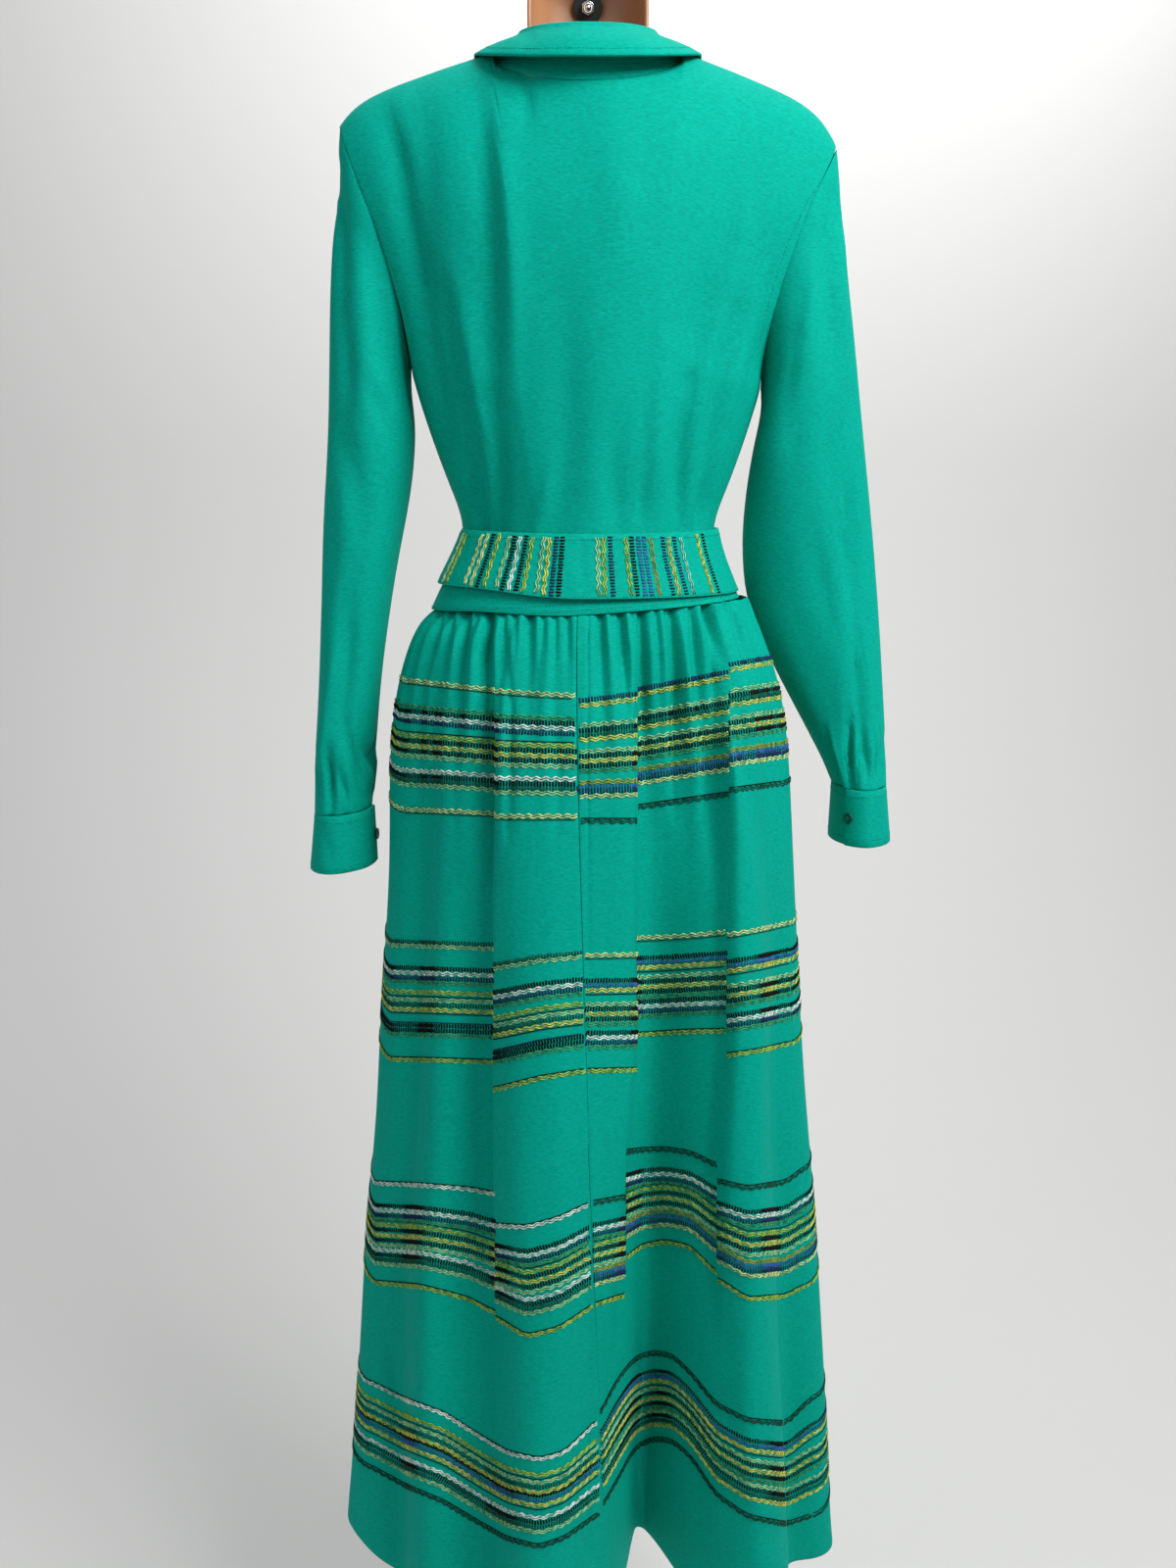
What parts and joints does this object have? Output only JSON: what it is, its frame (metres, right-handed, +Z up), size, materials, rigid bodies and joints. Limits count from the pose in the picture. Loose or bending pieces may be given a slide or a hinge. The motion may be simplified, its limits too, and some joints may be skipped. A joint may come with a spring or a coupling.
{
  "type": "maxi dress on a hanging body form",
  "caption": "Long-sleeved shirt maxi dress with a turned-down collar, wide belt and gathered striped skirt, hung on a hollow-backed body form with a hook",
  "frame": {"origin": "where the hook of the body form bears on its rod, at the top of the hook's inner curve", "axes": "+Z up, the back of the dress faces -Y, +X is the wearer's right"},
  "size_m": [0.5663, 0.3719, 1.6378],
  "materials": {
    "woven_cloth": "emerald green woven cloth with raised wavy yarn stripes on the skirt and belt",
    "buttons": "green plastic, slightly glossy",
    "form_plastic": "tan moulded plastic, satin",
    "washer_rubber": "black rubber",
    "bright_metal": "bright chrome plate"
  },
  "bodies": {
    "root": {"back_bodice": "woven_cloth", "front_bodice_left": "woven_cloth", "front_bodice_right": "woven_cloth", "front_placket": "woven_cloth", "sleeve_left": "woven_cloth", "sleeve_right": "woven_cloth", "cuff_left": "woven_cloth", "cuff_right": "woven_cloth", "collar_stand": "woven_cloth", "collar": "woven_cloth", "waistband": "woven_cloth", "belt": "woven_cloth", "skirt_back_left": "woven_cloth", "skirt_back_right": "woven_cloth", "skirt_front_right": "woven_cloth", "skirt_front_left": "woven_cloth", "skirt_placket": "woven_cloth", "button_front_1": "buttons", "button_front_2": "buttons", "button_front_3": "buttons", "button_front_4": "buttons", "button_front_5": "buttons", "button_skirt_1": "buttons", "button_skirt_2": "buttons", "cuff_button_left": "buttons", "cuff_button_right": "buttons", "torso_form": "form_plastic", "form_washer": "washer_rubber", "form_nut": "bright_metal", "form_hook": "bright_metal"}
  },
  "joints": []
}
